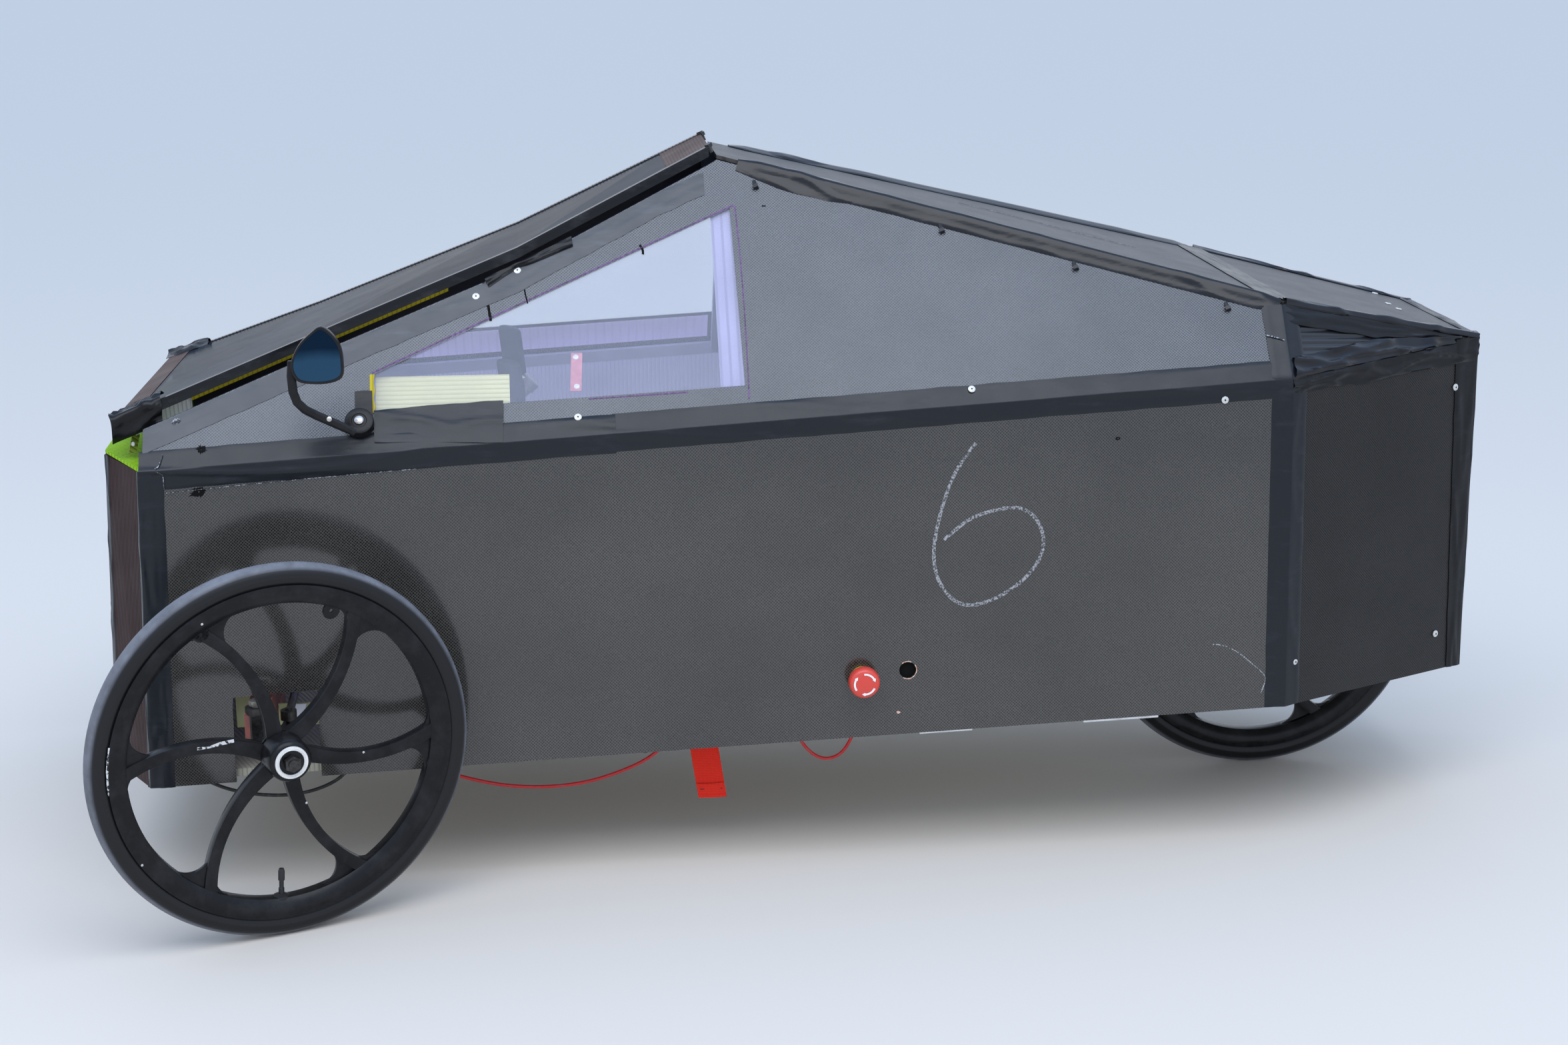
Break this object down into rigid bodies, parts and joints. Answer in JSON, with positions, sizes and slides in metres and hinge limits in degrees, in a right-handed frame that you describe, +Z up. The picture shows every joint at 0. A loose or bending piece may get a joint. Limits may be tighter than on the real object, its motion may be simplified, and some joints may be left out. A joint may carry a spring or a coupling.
{
  "type": "hydrogen car",
  "caption": "One-seat three-wheeled car with a folded plastic sheet body, steered front wheels outside it, a lift-up clear lid and a rear wheel in the tail.",
  "frame": {"origin": "on the ground under the middle of the car's box", "axes": "+Z up, nose towards -X, the car's left side towards -Y"},
  "size_m": [1.871, 1.1342, 0.907],
  "materials": {
    "woven_sheet": "embossed dark plastic sheet with a fine diagonal weave, glossy",
    "ribbed_sheet": "ribbed black plastic sheet",
    "clear_film": "clear plastic film",
    "brown_board": "brown corrugated plastic",
    "green_board": "green corrugated plastic with open flute ends",
    "floor_board": "pale corrugated plastic",
    "aluminium": "bare aluminium",
    "brown_steel": "red-brown painted steel",
    "steel": "plain steel",
    "chrome": "plated steel",
    "black_metal": "satin black painted metal",
    "seat_shell": "dark moulded plastic",
    "power_unit": "plain casing",
    "grip": "dark grey foam rubber",
    "mirror_glass": "blue-tinted mirror",
    "yellow": "yellow plastic",
    "red": "red plastic",
    "red_rubber": "red tube",
    "black_rubber": "black jacket",
    "webbing": "red woven webbing",
    "tyre": "worn slick tyre",
    "rim": "satin black moulded rim"
  },
  "bodies": {
    "body": {"lower_side_left": "woven_sheet", "lower_side_right": "woven_sheet", "upper_side_left": "woven_sheet", "upper_side_right": "woven_sheet", "side_window_left": "clear_film", "side_window_right": "clear_film", "nose_front": "brown_board", "nose_top": "green_board", "rear_deck": "ribbed_sheet", "tail_deck": "ribbed_sheet", "tail_side_left": "woven_sheet", "tail_side_right": "woven_sheet", "tail_uppers": "ribbed_sheet", "tail_end": "woven_sheet", "floor_pan": "floor_board", "floor_strips": "aluminium", "body_frame": "aluminium", "front_axle_beam": "brown_steel", "kingpin_bolts": "chrome", "rear_axle": "aluminium", "seat": "seat_shell", "power_unit": "power_unit", "steering_post": "aluminium", "mirror_head": "black_metal", "mirror_glass": "mirror_glass", "stop_collar": "yellow", "stop_button": "red", "red_hose": "red_rubber", "red_loop": "red_rubber", "black_cable": "black_rubber", "red_strap": "webbing"},
    "lid": {"lid_frame": "black_metal", "lid_boards": "brown_board", "lid_film": "clear_film"},
    "tiller": {"tiller": "steel", "tiller_grips": "grip"},
    "knuckle_left": {"knuckle_left": "brown_steel"},
    "knuckle_right": {"knuckle_right": "brown_steel"},
    "tie_rod": {"tie_rod": "chrome"},
    "front_left_wheel": {"front_left_tyre": "tyre", "front_left_rim": "rim"},
    "front_right_wheel": {"front_right_tyre": "tyre", "front_right_rim": "rim"},
    "rear_wheel": {"rear_tyre": "tyre", "rear_rim": "rim", "rear_hub": "rim"}
  },
  "joints": [
    {"name": "lid_hinge", "type": "hinge", "parent": "body", "child": "lid", "pos_m": [-0.0824, 0, 0.897], "axis": [0, 1, 0], "range_deg": [0, 60]},
    {"name": "steer_left", "type": "hinge", "parent": "body", "child": "knuckle_left", "pos_m": [-0.67905, -0.37796, 0.23771], "axis": [0, 0, 1], "range_deg": [-45.5, 2.5]},
    {"name": "steer_right", "type": "hinge", "parent": "body", "child": "knuckle_right", "pos_m": [-0.67905, 0.37796, 0.23771], "axis": [0, 0, 1], "range_deg": [-45.5, 2.5]},
    {"name": "tie_rod_pivot", "type": "hinge", "parent": "knuckle_left", "child": "tie_rod", "pos_m": [-0.64183, -0.3633, 0.245], "axis": [0, 0, 1], "range_deg": [-2.5, 45.5]},
    {"name": "tiller_turn", "type": "hinge", "parent": "body", "child": "tiller", "pos_m": [-0.4664, 0, 0.196], "axis": [0.2958, 0, 0.9553], "range_deg": [-45.5, 2.5]},
    {"name": "front_left_spin", "type": "hinge", "parent": "knuckle_left", "child": "front_left_wheel", "pos_m": [-0.6424, -0.471, 0.23491], "axis": [0.3664, -0.9301, -0.0279], "continuous": true},
    {"name": "front_right_spin", "type": "hinge", "parent": "knuckle_right", "child": "front_right_wheel", "pos_m": [-0.7157, 0.471, 0.23491], "axis": [-0.3664, 0.9301, -0.0279], "continuous": true},
    {"name": "rear_spin", "type": "hinge", "parent": "body", "child": "rear_wheel", "pos_m": [0.6866, 0, 0.235], "axis": [0, -1, 0], "continuous": true}
  ],
  "couplings": [
    {"joint": "steer_right", "follows": "steer_left", "ratio": 1},
    {"joint": "tie_rod_pivot", "follows": "steer_left", "ratio": -1},
    {"joint": "tiller_turn", "follows": "steer_left", "ratio": 1}
  ]
}
